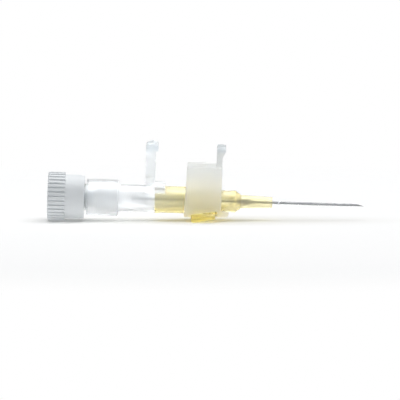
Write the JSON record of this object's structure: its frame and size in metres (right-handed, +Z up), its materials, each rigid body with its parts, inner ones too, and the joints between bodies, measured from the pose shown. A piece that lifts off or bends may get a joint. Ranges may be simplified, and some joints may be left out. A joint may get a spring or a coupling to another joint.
{
  "type": "intravenous cannula",
  "caption": "Small winged cannula over its needle, with clear flash tube, push plate, ribbed luer plug and clip-on grip handle.",
  "frame": {"origin": "middle of the catheter hub's nose end, where the catheter leaves it", "axes": "+X along the bore to the needle's point, +Z up with the push plate and the handle, +Y across the wings"},
  "size_m": [0.0754, 0.0126, 0.0195],
  "materials": {
    "needle_steel": "drawn and polished",
    "wedge_steel": "pressed",
    "catheter_plastic": "thin and see-through",
    "yellow_plastic": "see-through, moulded",
    "clear_plastic": "clear, moulded",
    "milky_plastic": "milky, moulded",
    "grey_plastic": "satin, moulded",
    "vent_filter": "porous"
  },
  "bodies": {
    "catheter": {"catheter_hub": "yellow_plastic", "catheter_tube": "catheter_plastic", "wedge": "wedge_steel"},
    "stylet": {"needle": "needle_steel", "needle_hub": "clear_plastic", "rear_socket": "clear_plastic"},
    "vent": {"vent_membrane": "vent_filter"},
    "plug": {"luer_plug": "grey_plastic"},
    "handle": {"grip_handle": "milky_plastic"}
  },
  "joints": [
    {"name": "needle_withdraw", "type": "slide", "parent": "catheter", "child": "stylet", "axis": [-1, 0, 0], "range_m": [0, 0.05]},
    {"name": "plug_travel", "type": "slide", "parent": "stylet", "child": "vent", "axis": [-1, 0, 0], "range_m": [0, 0.00374]},
    {"name": "plug_turn", "type": "hinge", "parent": "vent", "child": "plug", "pos_m": [-0.05, 0, 0], "axis": [-1, 0, 0], "range_deg": [0, 270]},
    {"name": "handle_lift", "type": "slide", "parent": "catheter", "child": "handle", "axis": [0, 0, 1], "range_m": [0, 0.02]}
  ],
  "couplings": [
    {"joint": "plug_turn", "follows": "plug_travel", "rad_per_m": 1256.6}
  ]
}
